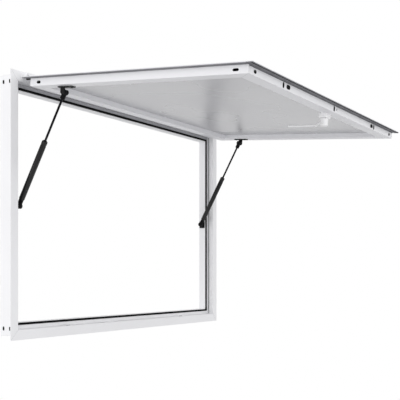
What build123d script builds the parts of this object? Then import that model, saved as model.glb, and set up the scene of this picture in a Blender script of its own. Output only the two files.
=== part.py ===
from build123d import *
import os
from math import atan2, cos, degrees, radians, sin

# Concession window: an aluminium frame set in a wall, and a top-hinged awning leaf that two gas struts
# hold open.
# X runs along the width, Y from outside to inside, Z up. The leaf is modelled open, as it stands in use.
# The origin is on the wall side of the flange, at the middle of the margin that laps the wall below.

# Frame
FRAME_WIDTH = 1040.0
FRAME_HEIGHT = 686.0
FRAME_DEPTH = 46.0
FLANGE_THICK = 2.0
FLANGE_FACE = 26.0        # from the flange's outer edge to the recess for the leaf
SLEEVE_INSET = 11.0       # how far the flange laps over the wall
FRAME_WALL = 2.0
LEDGE_DEPTH = 22.0        # from the front face to the ledge that carries the gasket
REVEAL_INSET = 44.0       # from the flange's outer edge to the clear opening
GASKET_WIDTH = 6.0
GASKET_HEIGHT = 4.5
GASKET_FROM_REVEAL = 1.5
GASKET_ROUND = 2.4

# Leaf
LEAF_THICK = 22.5
LEAF_PROUD = 6.0          # outer skin in front of the flange when the leaf is shut
BODY_GAP = 6.0            # between the leaf's body and the recess, at the sides and the bottom
TOP_GAP = 5.0             # the same at the top
LIP_WIDTH = 16.5          # the lip beyond the leaf's body
LIP_THICK = 1.5
SKIN_THICK = 1.5
SKIN_BORDER = 6.0         # the rail's own face outside the skin, measured from the body's side
RAIL_WIDTH = 36.0
RAIL_WALL = 1.8
PANEL_LEDGE = 6.0         # the shelf under the skin that the inner panel is bonded to
PANEL_LEDGE_THICK = 2.0
PANEL_RECESS = 13.5       # inner panel above the underside of the rails
SEAL_WIDTH = 15.5
SEAL_THICK = 2.6
SEAL_SETBACK = 0.6        # seal inside the lip's outer edge
FIT_GAP = 0.3
OPEN_ANGLE = 85.75

# Interlocking hinge
HINGE_OUT = 16.0          # hinge axis in front of the flange
HINGE_DROP = 9.0          # hinge axis below the flange's top edge
BEAD_RADIUS = 3.2
CHANNEL_WALL = 2.0
CHANNEL_LIP_SHUT = 25.0   # degrees that the channel's mouth runs past the shut neck
CHANNEL_LIP_OPEN = 26.0   # and past the open neck
NECK_THICK = 2.0
NECK_LENGTH = 7.5
LEG_THICK = 2.0
LEG_DROP = 10.0
HINGE_PLATE_LAP = 14.0    # the hinge plate lies on the rear rail by this much
LIP_START = 8.0           # the side lips begin this far from the hinge axis

# Gas struts
STRUT_INSET = 60.0        # strut's centre plane, from the flange's outer edge
STRUT_HEIGHT = 345.0      # lower ball, above the flange's bottom edge
STRUT_BACK = 30.0         # lower ball, behind the front face
STRUT_ALONG = 113.0       # upper ball, along the leaf from the hinge axis
STRUT_BELOW = 13.8        # upper ball, below the underside of the leaf's rails
CYLINDER_RADIUS = 7.5
CYLINDER_LENGTH = 167.0
CYLINDER_BORE_DEPTH = 138.0
CYLINDER_ROUND = 2.0
ROD_RADIUS = 3.0
ROD_GRIP = 25.0           # rod inside the cylinder with the strut fully out
RUNNING_GAP = 0.08
SOCKET_RADIUS = 7.0
SOCKET_NECK_RADIUS = 6.3
SOCKET_REACH = 18.0       # ball centre to the end of the socket's neck
SOCKET_ROUND = 1.2
STUD_RADIUS = 3.0
STUD_DEPTH = 11.0
BRACKET_THICK = 2.5
UPPER_PLATE_LENGTH = 46.0
UPPER_PLATE_FRONT = 29.0  # the plate reaches this far past the ball, away from the hinge
TAB_WIDTH = 13.0
LOWER_PLATE_HEIGHT = 24.0
LOWER_PLATE_WIDTH = 20.0
LOWER_PLATE_THICK = 2.2
STUD_COLLAR_RADIUS = 4.5

# Lock, latches and holes
LOCK_INSET = 33.0         # lock's axis, from the free end of the leaf's body
LOCK_OFFSET = 16.0        # and to the right of the leaf's middle
CASE_LENGTH = 34.0
CASE_WIDTH = 26.0
CASE_HEIGHT = 13.0
CASE_CORNER = 6.5
CASE_ROUND = 3.2
HUB_RADIUS = 11.0
HUB_LENGTH = 20.0
HUB_ROUND = 2.2
LEVER_RADIUS = 2.8
LEVER_LENGTH = 105.0
LEVER_STEP = 6.0
LEVER_STEP_RUN = 9.0      # the step down takes this much of the lever's length
LEVER_BEND = 5.6
LEVER_FROM_END = 7.5
KEY_RADIUS = 11.0
KEY_HEIGHT = 3.0
KEY_CHAMFER = 0.75
KEY_SLOT_LENGTH = 9.0
KEY_SLOT_WIDTH = 1.6
KEY_SLOT_DEPTH = 1.5
LATCH_SPACING = 315.0
LATCH_SLOT_LENGTH = 11.0
LATCH_SLOT_WIDTH = 5.4
LATCH_THICK = 2.6
LATCH_HEIGHT = 9.0
LATCH_RECESS = 4.0        # tongue's tip behind the rail's face
BOLT_HOLE_OFFSET = 25.0
BOLT_HOLE_RADIUS = 4.5
SCREW_HOLE_OFFSET = 17.0
SCREW_HOLE_RADIUS = 2.5
HOLE_DEPTH_LINE = 13.5    # the line of holes round the leaf, below the outer skin
END_HOLE_INSET = 29.0
END_HOLE_RADIUS = 3.2
SIDE_HOLE_REAR = 28.0
SIDE_HOLE_FRONT = 32.0
SIDE_HOLE_LENGTH = 10.0
SIDE_SLOT_LENGTH = 15.0
SIDE_HOLE_WIDTH = 6.2
BUFFER_LENGTH = 14.0
BUFFER_WIDTH = 6.0
BUFFER_HEIGHT = 2.5
BUFFER_ROUND = 0.9
BUFFER_SPACING = 290.0
BUFFER_DEPTH = 7.0

# Places worked out from the sizes
FRONT_Y = -FLANGE_THICK
BOTTOM_Z = -SLEEVE_INSET / 2
TOP_Z = BOTTOM_Z + FRAME_HEIGHT
MIDDLE_Z = BOTTOM_Z + FRAME_HEIGHT / 2
HALF_WIDTH = FRAME_WIDTH / 2
HINGE_Y = FRONT_Y - HINGE_OUT
HINGE_Z = TOP_Z - HINGE_DROP

BODY_INSET = FLANGE_FACE + BODY_GAP
HALF_BODY = HALF_WIDTH - BODY_INSET
BODY_START = FLANGE_FACE + TOP_GAP - HINGE_DROP
BODY_END = FRAME_HEIGHT - HINGE_DROP - BODY_INSET
LIP_END = BODY_END + LIP_WIDTH
SKIN_DEPTH = HINGE_OUT - LEAF_PROUD
RAIL_BOTTOM = SKIN_DEPTH + LEAF_THICK
LEDGE_REACH = RAIL_WIDTH + PANEL_LEDGE
HOLE_LINE = SKIN_DEPTH + HOLE_DEPTH_LINE

INTO_WALL = Vector(0, 1, 0)
ACROSS = Vector(1, 0, 0)
UP = Vector(0, 0, 1)

# The leaf's own directions: along it from the hinge, and through it from the outer skin inwards
ALONG = Vector(0, -sin(radians(OPEN_ANGLE)), -cos(radians(OPEN_ANGLE)))
THROUGH = Vector(0, cos(radians(OPEN_ANGLE)), -sin(radians(OPEN_ANGLE)))
HINGE = Vector(0, HINGE_Y, HINGE_Z)


def on_leaf(across, along, through):
    """A point of the open leaf, counted from the middle of the hinge axis."""
    return HINGE + ACROSS * across + ALONG * along + THROUGH * through


def section_plane(origin, inward, depth):
    """The plane of a rail's cross-section: x runs inward from the outer edge, y through the depth."""
    return Plane(origin=origin, x_dir=inward, z_dir=inward.cross(depth))


def box_between(low, high):
    """The plane, sizes and height of a block between two corners in the leaf's own directions."""
    middle = [(a + b) / 2 for a, b in zip(low, high)]
    base = on_leaf(middle[0], middle[1], low[2])
    plane = Plane(origin=base, x_dir=ACROSS, z_dir=THROUGH)
    return plane, high[0] - low[0], high[1] - low[1], high[2] - low[2]


def leaf_block(low, high):
    """A plain block of the leaf, from its low corner to its high corner (across, along, through)."""
    plane, width, length, height = box_between(low, high)
    with BuildPart() as block:
        with BuildSketch(plane):
            Rectangle(width, length)
        extrude(amount=height)
    return block


def rail(plane, outline, hollow, length, mitred):
    """A hollow extrusion centred on its section plane, mitred at the ends named by their signs."""
    with BuildPart() as bar:
        with BuildSketch(plane):
            with BuildLine():
                Polyline(*outline, close=True)
            make_face()
            with BuildLine():
                Polyline(*hollow, close=True)
            make_face(mode=Mode.SUBTRACT)
        extrude(amount=length / 2, both=True)
        for end in mitred:
            corner = plane.origin + plane.z_dir * (end * length / 2)
            split(bisect_by=Plane(origin=corner, z_dir=plane.z_dir * end + plane.x_dir), keep=Keep.BOTTOM)
    return bar


def save(piece, name):
    piece.part.label = name
    export_step(piece.part, f"parts/{name}.step")


os.makedirs("parts", exist_ok=True)

# Frame extrusion: flange, recess with its ledge, reveal and sleeve, round one closed hollow
FRAME_OUTLINE = [
    (0, 0),
    (FLANGE_FACE, 0),
    (FLANGE_FACE, LEDGE_DEPTH),
    (REVEAL_INSET, LEDGE_DEPTH),
    (REVEAL_INSET, FRAME_DEPTH),
    (SLEEVE_INSET, FRAME_DEPTH),
    (SLEEVE_INSET, FLANGE_THICK),
    (0, FLANGE_THICK),
]
FRAME_HOLLOW = [
    (SLEEVE_INSET + FRAME_WALL, FLANGE_THICK),
    (FLANGE_FACE - FRAME_WALL, FLANGE_THICK),
    (FLANGE_FACE - FRAME_WALL, LEDGE_DEPTH + FRAME_WALL),
    (REVEAL_INSET - FRAME_WALL, LEDGE_DEPTH + FRAME_WALL),
    (REVEAL_INSET - FRAME_WALL, FRAME_DEPTH - FRAME_WALL),
    (SLEEVE_INSET + FRAME_WALL, FRAME_DEPTH - FRAME_WALL),
]
FRAME_SIDES = {
    "frame_sill": (Vector(0, FRONT_Y, BOTTOM_Z), UP, FRAME_WIDTH),
    "frame_head": (Vector(0, FRONT_Y, TOP_Z), UP * -1, FRAME_WIDTH),
    "frame_jamb_left": (Vector(-HALF_WIDTH, FRONT_Y, MIDDLE_Z), ACROSS, FRAME_HEIGHT),
    "frame_jamb_right": (Vector(HALF_WIDTH, FRONT_Y, MIDDLE_Z), ACROSS * -1, FRAME_HEIGHT),
}
for name, (middle, inward, length) in FRAME_SIDES.items():
    side_plane = section_plane(middle, inward, INTO_WALL)
    save(rail(side_plane, FRAME_OUTLINE, FRAME_HOLLOW, length, (-1, 1)), name)

# Bulb gasket on the ledge, all round the opening
gasket_outer = REVEAL_INSET - GASKET_FROM_REVEAL - GASKET_WIDTH
gasket_inner = REVEAL_INSET - GASKET_FROM_REVEAL
ledge_y = FRONT_Y + LEDGE_DEPTH
with BuildPart() as frame_gasket:
    with BuildSketch(Plane(origin=(0, ledge_y, MIDDLE_Z), x_dir=ACROSS, z_dir=INTO_WALL * -1)):
        Rectangle(FRAME_WIDTH - 2 * gasket_outer, FRAME_HEIGHT - 2 * gasket_outer)
        Rectangle(FRAME_WIDTH - 2 * gasket_inner, FRAME_HEIGHT - 2 * gasket_inner, mode=Mode.SUBTRACT)
    extrude(amount=GASKET_HEIGHT)
    fillet(frame_gasket.faces().sort_by(Axis.Y)[0].edges(), radius=GASKET_ROUND)
save(frame_gasket, "frame_gasket")

# Frame half of the hinge: a channel that wraps the leaf's bead, on a web and a leg in front of the flange
channel_inner = BEAD_RADIUS + FIT_GAP
channel_outer = channel_inner + CHANNEL_WALL
hinge_half_length = HALF_BODY - SKIN_BORDER - FIT_GAP
mouth_start = -CHANNEL_LIP_SHUT
mouth_end = OPEN_ANGLE + CHANNEL_LIP_OPEN
mouth_reach = 2 * channel_outer
with BuildPart() as hinge_channel:
    with BuildSketch(Plane(origin=HINGE, x_dir=INTO_WALL, z_dir=ACROSS)):
        Circle(channel_outer)
        with BuildLine():
            Polyline(
                (0, channel_outer - CHANNEL_WALL),
                (HINGE_OUT - LEG_THICK, channel_outer - CHANNEL_WALL),
                (HINGE_OUT - LEG_THICK, -LEG_DROP),
                (HINGE_OUT, -LEG_DROP),
                (HINGE_OUT, channel_outer),
                (0, channel_outer),
                close=True,
            )
        make_face()
        Circle(channel_inner, mode=Mode.SUBTRACT)
        mouth = [radians(mouth_start + (mouth_end - mouth_start) * step / 2) for step in range(3)]
        with BuildLine():
            Polyline(
                (0, 0),
                *[(-mouth_reach * sin(turn), -mouth_reach * cos(turn)) for turn in mouth],
                close=True,
            )
        make_face(mode=Mode.SUBTRACT)
    extrude(amount=hinge_half_length, both=True)
save(hinge_channel, "hinge_channel")

# Leaf half of the hinge: a bead on a neck that steps down to a plate on the rear rail
plate_end = BODY_START + HINGE_PLATE_LAP
with BuildPart() as hinge_leaf:
    with BuildSketch(Plane(origin=HINGE, x_dir=ALONG, z_dir=ACROSS)):
        with BuildLine():
            Polyline(
                (0, -NECK_THICK / 2),
                (NECK_LENGTH + NECK_THICK / 2, -NECK_THICK / 2),
                (NECK_LENGTH * 2 + NECK_THICK / 2, SKIN_DEPTH),
                (plate_end, SKIN_DEPTH),
                (plate_end, SKIN_DEPTH + SKIN_THICK),
                (NECK_LENGTH * 2 - NECK_THICK / 2, SKIN_DEPTH + SKIN_THICK),
                (NECK_LENGTH, NECK_THICK / 2),
                (0, NECK_THICK / 2),
                close=True,
            )
        make_face()
        Circle(BEAD_RADIUS)
    extrude(amount=hinge_half_length, both=True)
save(hinge_leaf, "hinge_leaf")

# Leaf extrusions: a lip, a rebate for the skin, a tube, and a shelf under the skin for the inner panel
RAIL_OUTLINE = [
    (0, 0),
    (LIP_WIDTH + SKIN_BORDER, 0),
    (LIP_WIDTH + SKIN_BORDER, SKIN_THICK),
    (LIP_WIDTH + LEDGE_REACH, SKIN_THICK),
    (LIP_WIDTH + LEDGE_REACH, SKIN_THICK + PANEL_LEDGE_THICK),
    (LIP_WIDTH + RAIL_WIDTH, SKIN_THICK + PANEL_LEDGE_THICK),
    (LIP_WIDTH + RAIL_WIDTH, LEAF_THICK),
    (LIP_WIDTH, LEAF_THICK),
    (LIP_WIDTH, LIP_THICK),
    (0, LIP_THICK),
]
RAIL_HOLLOW = [
    (LIP_WIDTH + RAIL_WALL, SKIN_THICK + RAIL_WALL),
    (LIP_WIDTH + RAIL_WIDTH - RAIL_WALL, SKIN_THICK + RAIL_WALL),
    (LIP_WIDTH + RAIL_WIDTH - RAIL_WALL, LEAF_THICK - RAIL_WALL),
    (LIP_WIDTH + RAIL_WALL, LEAF_THICK - RAIL_WALL),
]
HALF_LIP = HALF_BODY + LIP_WIDTH


def hole(face_point, outward, length_way, length, width):
    """What a hole or slot takes out of one tube wall, sketched on the wall's face and run inwards."""
    with BuildPart() as cutter:
        with BuildSketch(Plane(origin=face_point, x_dir=length_way, z_dir=outward)):
            if length > width:
                SlotOverall(length, width)
            else:
                Circle(width / 2)
        extrude(amount=-2 * RAIL_WALL)
    return cutter.part


# Front rail, with the latch slots and the holes along its end face
front_plane = section_plane(on_leaf(0, LIP_END, SKIN_DEPTH), ALONG * -1, THROUGH)
end_slots = (-LATCH_SPACING, 0, LATCH_SPACING)
end_holes = {
    -LATCH_SPACING + BOLT_HOLE_OFFSET: BOLT_HOLE_RADIUS,
    LATCH_SPACING - BOLT_HOLE_OFFSET: BOLT_HOLE_RADIUS,
    SCREW_HOLE_OFFSET: SCREW_HOLE_RADIUS,
    -HALF_BODY + END_HOLE_INSET: END_HOLE_RADIUS,
    HALF_BODY - END_HOLE_INSET: END_HOLE_RADIUS,
}
with BuildPart() as awning_rail_front:
    add(rail(front_plane, RAIL_OUTLINE, RAIL_HOLLOW, 2 * HALF_LIP, (-1, 1)).part)
    for x in end_slots:
        slot = hole(on_leaf(x, BODY_END, HOLE_LINE), ALONG, THROUGH, LATCH_SLOT_LENGTH, LATCH_SLOT_WIDTH)
        add(slot, mode=Mode.SUBTRACT)
    for x, radius in end_holes.items():
        add(hole(on_leaf(x, BODY_END, HOLE_LINE), ALONG, THROUGH, 0, 2 * radius), mode=Mode.SUBTRACT)
save(awning_rail_front, "awning_rail_front")

# Side rails: mitred to the front rail. Only the lip runs on past the body towards the hinge, and the
# shelf for the panel stops where the rear rail butts against the tube
stile_length = LIP_END - LIP_START
tail = BODY_START - LIP_START
for side, name in ((-1, "awning_stile_left"), (1, "awning_stile_right")):
    middle = on_leaf(side * HALF_LIP, LIP_END - stile_length / 2, SKIN_DEPTH)
    stile_plane = section_plane(middle, ACROSS * -side, THROUGH)
    front_end = 1 if stile_plane.z_dir.dot(ALONG) > 0 else -1
    tail_middle = LIP_START + tail / 2
    below_lip = on_leaf(side * (HALF_BODY - RAIL_WIDTH / 2), tail_middle, SKIN_DEPTH + LIP_THICK)
    beside_lip = on_leaf(side * (HALF_BODY - SKIN_BORDER - LEDGE_REACH / 2), tail_middle, SKIN_DEPTH)
    shelf_middle = HALF_BODY - RAIL_WIDTH - PANEL_LEDGE / 2
    beside_tube = on_leaf(side * shelf_middle, BODY_START + LEDGE_REACH / 2, SKIN_DEPTH)
    rear_hole = on_leaf(side * HALF_BODY, BODY_START + SIDE_HOLE_REAR, HOLE_LINE)
    front_hole = on_leaf(side * HALF_BODY, BODY_END - SIDE_HOLE_FRONT, HOLE_LINE)
    with BuildPart() as stile:
        add(rail(stile_plane, RAIL_OUTLINE, RAIL_HOLLOW, stile_length, (front_end,)).part)
        with BuildSketch(Plane(origin=below_lip, x_dir=ACROSS, z_dir=THROUGH)):
            Rectangle(RAIL_WIDTH, tail)
        extrude(amount=LEAF_THICK - LIP_THICK, mode=Mode.SUBTRACT)
        with BuildSketch(Plane(origin=beside_lip, x_dir=ACROSS, z_dir=THROUGH)):
            Rectangle(LEDGE_REACH, tail)
        extrude(amount=LEAF_THICK, mode=Mode.SUBTRACT)
        with BuildSketch(Plane(origin=beside_tube, x_dir=ACROSS, z_dir=THROUGH)):
            Rectangle(PANEL_LEDGE, LEDGE_REACH)
        extrude(amount=LEAF_THICK, mode=Mode.SUBTRACT)
        add(hole(rear_hole, ACROSS * side, ALONG, SIDE_HOLE_LENGTH, SIDE_HOLE_WIDTH), mode=Mode.SUBTRACT)
        add(hole(front_hole, ACROSS * side, ALONG, SIDE_SLOT_LENGTH, SIDE_HOLE_WIDTH), mode=Mode.SUBTRACT)
    save(stile, name)

# Rear rail: the same tube without the lip, butted between the side rails
REAR_OUTLINE = [
    (0, SKIN_THICK),
    (LEDGE_REACH, SKIN_THICK),
    (LEDGE_REACH, SKIN_THICK + PANEL_LEDGE_THICK),
    (RAIL_WIDTH, SKIN_THICK + PANEL_LEDGE_THICK),
    (RAIL_WIDTH, LEAF_THICK),
    (0, LEAF_THICK),
]
REAR_HOLLOW = [(w - LIP_WIDTH, d) for w, d in RAIL_HOLLOW]
rear_plane = section_plane(on_leaf(0, BODY_START, SKIN_DEPTH), ALONG, THROUGH)
awning_rail_rear = rail(rear_plane, REAR_OUTLINE, REAR_HOLLOW, 2 * (HALF_BODY - RAIL_WIDTH), ())
save(awning_rail_rear, "awning_rail_rear")

# Outer skin in its rebate, behind the hinge plate
skin_low = (-hinge_half_length, plate_end + FIT_GAP, SKIN_DEPTH)
skin_high = (hinge_half_length, BODY_END - SKIN_BORDER - FIT_GAP, SKIN_DEPTH + SKIN_THICK)
save(leaf_block(skin_low, skin_high), "awning_skin")

# Inner panel, bonded to the shelves of the four rails
panel_half = HALF_BODY - RAIL_WIDTH - FIT_GAP
panel_top = SKIN_DEPTH + SKIN_THICK + PANEL_LEDGE_THICK
panel_low = (-panel_half, BODY_START + RAIL_WIDTH + FIT_GAP, panel_top)
panel_high = (panel_half, BODY_END - RAIL_WIDTH - FIT_GAP, RAIL_BOTTOM - PANEL_RECESS)
save(leaf_block(panel_low, panel_high), "inner_panel")

# Dark seal under the lip, along both sides and the free end
seal_half = HALF_LIP - SEAL_SETBACK
seal_end = LIP_END - SEAL_SETBACK
seal_low = (-seal_half, LIP_START, SKIN_DEPTH + LIP_THICK)
seal_high = (seal_half, seal_end, SKIN_DEPTH + LIP_THICK + SEAL_THICK)
with BuildPart() as lip_seal:
    seal_plane, width, length, height = box_between(seal_low, seal_high)
    with BuildSketch(seal_plane):
        Rectangle(width, length)
        with Locations((0, -SEAL_WIDTH / 2)):
            Rectangle(width - 2 * SEAL_WIDTH, length - SEAL_WIDTH, mode=Mode.SUBTRACT)
    extrude(amount=height)
save(lip_seal, "lip_seal")

# Low pads on the sill, under the free end of the shut leaf
for side, name in ((-1, "sill_buffer_left"), (1, "sill_buffer_right")):
    foot = (side * BUFFER_SPACING, FRONT_Y + BUFFER_DEPTH, BOTTOM_Z + FLANGE_FACE)
    with BuildPart() as sill_buffer:
        with BuildSketch(Plane(origin=foot, x_dir=ACROSS, z_dir=UP)):
            SlotOverall(BUFFER_LENGTH, BUFFER_WIDTH)
        extrude(amount=BUFFER_HEIGHT)
        fillet(sill_buffer.faces().sort_by(Axis.Z)[-1].edges(), radius=BUFFER_ROUND)
    save(sill_buffer, name)

# Latch tongues behind the slots of the front rail
latch_back = BODY_END - RAIL_WIDTH + RAIL_WALL
for x, name in ((-LATCH_SPACING, "latch_left"), (0, "latch_centre"), (LATCH_SPACING, "latch_right")):
    latch_low = (x - LATCH_THICK / 2, latch_back, HOLE_LINE - LATCH_HEIGHT / 2)
    latch_high = (x + LATCH_THICK / 2, BODY_END - LATCH_RECESS, HOLE_LINE + LATCH_HEIGHT / 2)
    save(leaf_block(latch_low, latch_high), name)

# Lock: a case under the front rail, a key cylinder on the skin, and a hub cast in one with its lever
lock_along = BODY_END - LOCK_INSET
case_foot = on_leaf(LOCK_OFFSET, lock_along, RAIL_BOTTOM)
key_foot = on_leaf(LOCK_OFFSET, lock_along, SKIN_DEPTH)
key_face = on_leaf(LOCK_OFFSET, lock_along, SKIN_DEPTH - KEY_HEIGHT)
with BuildPart() as lock_case:
    with BuildSketch(Plane(origin=case_foot, x_dir=ACROSS, z_dir=THROUGH)):
        RectangleRounded(CASE_LENGTH, CASE_WIDTH, CASE_CORNER)
    extrude(amount=CASE_HEIGHT)
    fillet(lock_case.faces().sort_by(Axis(HINGE, THROUGH))[-1].edges(), radius=CASE_ROUND)
save(lock_case, "lock_case")

with BuildPart() as key_cylinder:
    with BuildSketch(Plane(origin=key_foot, x_dir=ACROSS, z_dir=THROUGH * -1)):
        Circle(KEY_RADIUS)
    extrude(amount=KEY_HEIGHT)
    chamfer(key_cylinder.faces().sort_by(Axis(HINGE, THROUGH))[0].edges(), length=KEY_CHAMFER)
    with BuildSketch(Plane(origin=key_face, x_dir=ACROSS, z_dir=THROUGH * -1)):
        Rectangle(KEY_SLOT_LENGTH, KEY_SLOT_WIDTH)
    extrude(amount=-KEY_SLOT_DEPTH, mode=Mode.SUBTRACT)
save(key_cylinder, "key_cylinder")

# The lever leaves the hub's side, steps down a little in two bends and runs straight towards the hinge
hub_top = RAIL_BOTTOM + CASE_HEIGHT + FIT_GAP
lever_top = hub_top + HUB_LENGTH - LEVER_FROM_END
step_start = lock_along - HUB_RADIUS - LEVER_RADIUS
step_end = step_start - LEVER_STEP_RUN
with BuildPart() as lock_lever:
    with BuildSketch(Plane(origin=on_leaf(LOCK_OFFSET, lock_along, hub_top), x_dir=ACROSS, z_dir=THROUGH)):
        Circle(HUB_RADIUS)
    extrude(amount=HUB_LENGTH)
    fillet(lock_lever.faces().sort_by(Axis(HINGE, THROUGH))[-1].edges(), radius=HUB_ROUND)
    with BuildLine() as lever_path:
        FilletPolyline(
            on_leaf(LOCK_OFFSET, lock_along, lever_top),
            on_leaf(LOCK_OFFSET, step_start, lever_top),
            on_leaf(LOCK_OFFSET, step_end, lever_top + LEVER_STEP),
            on_leaf(LOCK_OFFSET, lock_along - LEVER_LENGTH, lever_top + LEVER_STEP),
            radius=LEVER_BEND,
        )
    with BuildSketch(Plane(origin=lever_path.line @ 0, z_dir=lever_path.line % 0)):
        Circle(LEVER_RADIUS)
    sweep()
save(lock_lever, "lock_lever")

# Gas struts: where the balls are with the leaf open, and the line between them
ball_through = RAIL_BOTTOM + STRUT_BELOW
for side, end_name in ((-1, "left"), (1, "right")):
    strut_x = side * (HALF_WIDTH - STRUT_INSET)
    upper = on_leaf(strut_x, STRUT_ALONG, ball_through)
    lower = Vector(strut_x, FRONT_Y + STRUT_BACK, BOTTOM_Z + STRUT_HEIGHT)
    down = (lower - upper).normalized()
    span = (lower - upper).length
    outer_face = strut_x + side * CYLINDER_RADIUS
    inner_face = strut_x - side * CYLINDER_RADIUS
    toward_jamb = ACROSS * side

    # Upper bracket: a plate under the side rail, and a tab on the jamb's side of the rod's socket, with
    # the stud that the socket turns on
    tab_x = outer_face + side * FIT_GAP
    plate_low_x, plate_high_x = sorted((inner_face, tab_x + side * BRACKET_THICK))
    with BuildPart() as upper_bracket:
        plane, width, length, height = box_between(
            (plate_low_x, STRUT_ALONG + UPPER_PLATE_FRONT - UPPER_PLATE_LENGTH, RAIL_BOTTOM),
            (plate_high_x, STRUT_ALONG + UPPER_PLATE_FRONT, RAIL_BOTTOM + BRACKET_THICK),
        )
        with BuildSketch(plane):
            RectangleRounded(width, length, BRACKET_THICK)
        extrude(amount=height)
        tab_centre = Vector(tab_x, upper.Y, upper.Z)
        with BuildSketch(Plane(origin=tab_centre, x_dir=ALONG, z_dir=toward_jamb)):
            Circle(TAB_WIDTH / 2)
            with Locations((0, -side * STRUT_BELOW / 2)):
                Rectangle(TAB_WIDTH, STRUT_BELOW)
        extrude(amount=BRACKET_THICK)
        with BuildSketch(Plane(origin=tab_centre, x_dir=ALONG, z_dir=toward_jamb * -1)):
            Circle(STUD_RADIUS)
        extrude(amount=STUD_DEPTH)
    save(upper_bracket, f"upper_bracket_{end_name}")

    # Rod socket: a barrel on the stud and a neck along the strut
    with BuildPart() as rod_socket:
        with BuildSketch(Plane(origin=upper, x_dir=ALONG, z_dir=ACROSS)):
            Circle(SOCKET_RADIUS)
        extrude(amount=CYLINDER_RADIUS, both=True)
        fillet(rod_socket.edges().filter_by(GeomType.CIRCLE), radius=SOCKET_ROUND)
        with BuildSketch(Plane(origin=upper, x_dir=ACROSS, z_dir=down)):
            Circle(SOCKET_NECK_RADIUS)
        extrude(amount=SOCKET_REACH)
        stud_entry = Vector(outer_face, upper.Y, upper.Z)
        with BuildSketch(Plane(origin=stud_entry, x_dir=ALONG, z_dir=toward_jamb * -1)):
            Circle(STUD_RADIUS + RUNNING_GAP)
        extrude(amount=STUD_DEPTH, mode=Mode.SUBTRACT)
    save(rod_socket, f"rod_socket_{end_name}")

    # Rod, from the socket's neck into the cylinder
    cylinder_top = span - SOCKET_REACH - CYLINDER_LENGTH
    with BuildPart() as strut_rod:
        with BuildSketch(Plane(origin=upper + down * SOCKET_REACH, x_dir=ACROSS, z_dir=down)):
            Circle(ROD_RADIUS)
        extrude(amount=cylinder_top + ROD_GRIP - SOCKET_REACH)
    save(strut_rod, f"strut_rod_{end_name}")

    # Cylinder, turned in at its nose, with the bore that the rod runs in
    with BuildPart() as strut_cylinder:
        with BuildSketch(Plane(origin=upper + down * cylinder_top, x_dir=ACROSS, z_dir=down)):
            Circle(CYLINDER_RADIUS)
        extrude(amount=CYLINDER_LENGTH)
        ends = strut_cylinder.edges().filter_by(GeomType.CIRCLE)
        fillet(ends, radius=CYLINDER_ROUND)
        with BuildSketch(Plane(origin=upper + down * cylinder_top, x_dir=ACROSS, z_dir=down)):
            Circle(ROD_RADIUS + RUNNING_GAP)
        extrude(amount=CYLINDER_BORE_DEPTH, mode=Mode.SUBTRACT)
    save(strut_cylinder, f"strut_cylinder_{end_name}")

    # Cylinder socket at the lower ball
    with BuildPart() as cylinder_socket:
        with BuildSketch(Plane(origin=lower, x_dir=UP, z_dir=ACROSS)):
            Circle(SOCKET_RADIUS)
        extrude(amount=CYLINDER_RADIUS, both=True)
        fillet(cylinder_socket.edges().filter_by(GeomType.CIRCLE), radius=SOCKET_ROUND)
        with BuildSketch(Plane(origin=lower, x_dir=ACROSS, z_dir=down * -1)):
            Circle(SOCKET_NECK_RADIUS)
        extrude(amount=SOCKET_REACH)
    save(cylinder_socket, f"cylinder_socket_{end_name}")

    # Lower bracket: a plate on the reveal and a collared stud that ends just short of the socket
    reveal_x = side * (HALF_WIDTH - REVEAL_INSET)
    stud_length = STRUT_INSET - CYLINDER_RADIUS - FIT_GAP - REVEAL_INSET - LOWER_PLATE_THICK
    plate_y = FRONT_Y + (LEDGE_DEPTH + FRAME_DEPTH) / 2
    plate_centre = (reveal_x, plate_y, lower.Z)
    with BuildPart() as lower_bracket:
        with BuildSketch(Plane(origin=plate_centre, x_dir=INTO_WALL, z_dir=toward_jamb * -1)):
            RectangleRounded(LOWER_PLATE_WIDTH, LOWER_PLATE_HEIGHT, LOWER_PLATE_THICK)
        extrude(amount=LOWER_PLATE_THICK)
        stud_base = Vector(reveal_x - side * LOWER_PLATE_THICK, lower.Y, lower.Z)
        with BuildSketch(Plane(origin=stud_base, x_dir=INTO_WALL, z_dir=toward_jamb * -1)):
            RegularPolygon(STUD_COLLAR_RADIUS, 6)
        extrude(amount=stud_length)
    save(lower_bracket, f"lower_bracket_{end_name}")

# Travel of the struts between the open leaf and the shut leaf
shut_upper = Vector(0, HINGE_Y + ball_through, HINGE_Z - STRUT_ALONG)
open_upper = on_leaf(0, STRUT_ALONG, ball_through)
lower_ball = Vector(0, FRONT_Y + STRUT_BACK, BOTTOM_Z + STRUT_HEIGHT)
open_line = open_upper - lower_ball
shut_line = shut_upper - lower_ball
strut_turn = degrees(atan2(open_line.Z, open_line.Y) - atan2(shut_line.Z, shut_line.Y))
print("open strut", round(open_line.length, 3), "shut strut", round(shut_line.length, 3))
print("strut turns", round(strut_turn, 4), "degrees, and on the leaf", round(OPEN_ANGLE + strut_turn, 4))
print("upper ball", open_upper, "lower ball", lower_ball)
print("along the strut", (lower_ball - open_upper).normalized())
print("hinge axis", HINGE)
print("lock axis", on_leaf(LOCK_OFFSET, lock_along, hub_top), "direction", THROUGH)
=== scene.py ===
# %% [markdown]
# # A concession window in Blender
# A serving window sits in the wall of a kiosk: a white aluminium frame, and an awning leaf that swings up on a long
# bead hinge and is held open by two black gas struts. The CAD model gives the exact bodies, and this lesson dresses
# them: rubber, screws, turned strut tubes and finishes. We load the model first, so every piece can be placed by
# its real size in metres.

# %% Load the imported model
from math import cos, pi, radians, sin, sqrt

import bmesh
import bpy
from mathutils import Matrix, Vector


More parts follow.
